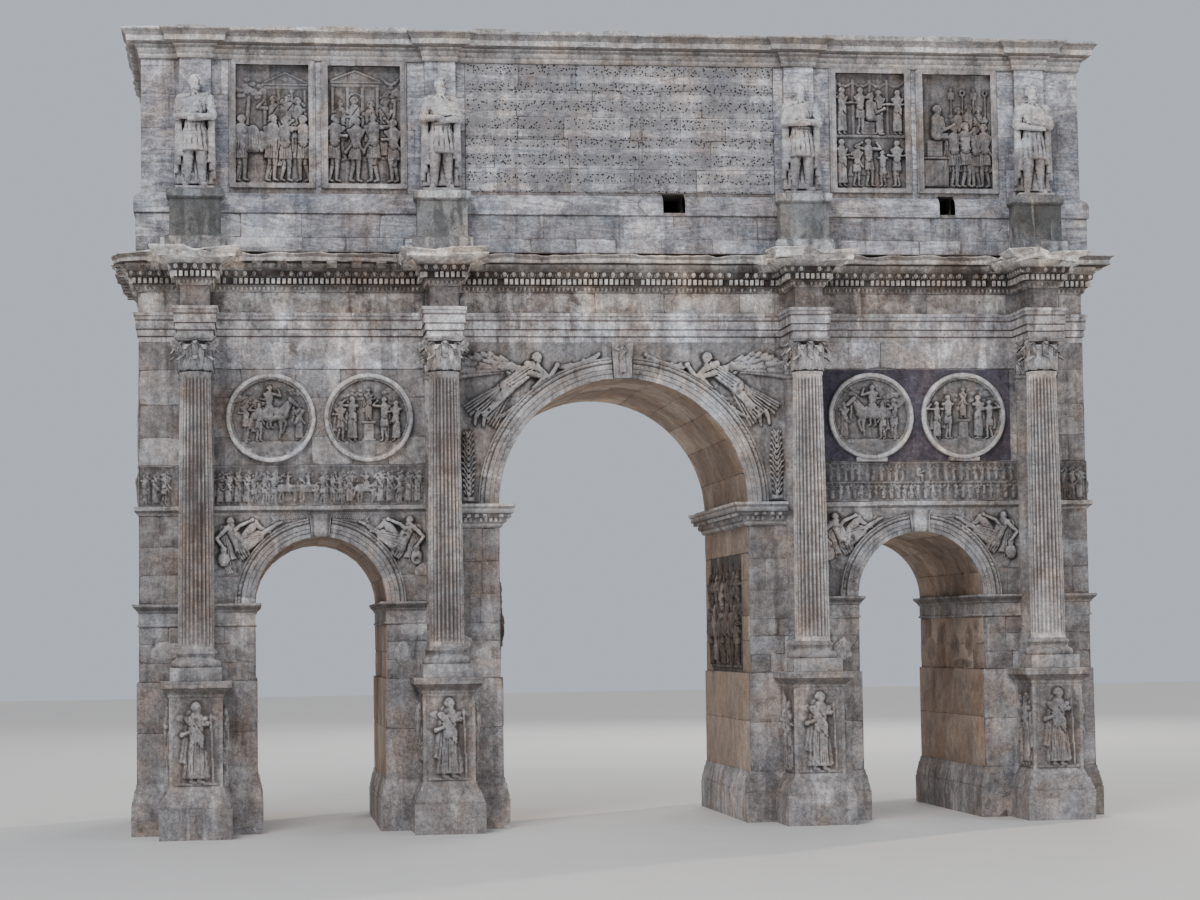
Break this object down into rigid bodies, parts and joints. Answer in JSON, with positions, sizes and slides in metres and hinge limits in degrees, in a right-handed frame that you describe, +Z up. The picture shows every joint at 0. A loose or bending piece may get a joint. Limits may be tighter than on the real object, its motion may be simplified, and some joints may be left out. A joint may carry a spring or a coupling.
{
  "type": "triumphal arch",
  "caption": "Free-standing marble triumphal arch with a tall centre passage, lower side passages, free Corinthian columns on pedestals, carved panels and a hollow attic with statues.",
  "frame": {"origin": "centre of the footprint, at ground level", "axes": "+X along the width, to the right seen from the front; +Y from the front face to the back face; +Z up"},
  "size_m": [26.32, 10.808, 20.47],
  "materials": {
    "warm_marble": "weathered white marble, warm grey with pale and dark patches",
    "grey_marble": "weathered grey-veined marble in large blocks",
    "carved_marble": "carved white marble with dirt in the hollows",
    "yellow_marble": "yellow marble with reddish streaks",
    "weathered_cornice": "brown weathered marble, worn edges",
    "dark_facing": "dark purple stone facing",
    "statue_marble": "violet-grey veined marble"
  },
  "bodies": {
    "root": {"pier_left_outer": "warm_marble", "pier_left_inner": "warm_marble", "pier_right_inner": "warm_marble", "pier_right_outer": "warm_marble", "vault_left": "warm_marble", "vault_right": "warm_marble", "vault_centre": "warm_marble", "upper_wall_left": "warm_marble", "upper_wall_right": "warm_marble", "archivolts": "carved_marble", "keystones": "carved_marble", "imposts_centre": "carved_marble", "imposts_side": "carved_marble", "string_courses": "carved_marble", "spandrel_panels": "carved_marble", "frieze_bands": "carved_marble", "roundels": "carved_marble", "roundel_backing": "dark_facing", "passage_reliefs": "carved_marble", "column_pedestals": "warm_marble", "column_bases": "warm_marble", "column_shafts": "yellow_marble", "column_capitals": "warm_marble", "pilasters": "warm_marble", "architrave": "warm_marble", "architrave_blocks": "warm_marble", "main_frieze": "warm_marble", "frieze_blocks": "warm_marble", "main_cornice": "weathered_cornice", "cornice_blocks": "weathered_cornice", "attic_front_wall": "grey_marble", "attic_back_wall": "grey_marble", "attic_left_wall": "grey_marble", "attic_right_wall": "grey_marble", "attic_cornice": "grey_marble", "attic_roof": "grey_marble", "attic_base_front": "grey_marble", "attic_base_back": "grey_marble", "attic_base_ends": "grey_marble", "window_blocks": "grey_marble", "attic_frames": "carved_marble", "attic_reliefs": "carved_marble", "inscription_slabs": "grey_marble", "statue_pedestals": "grey_marble", "statues": "statue_marble"}
  },
  "joints": []
}
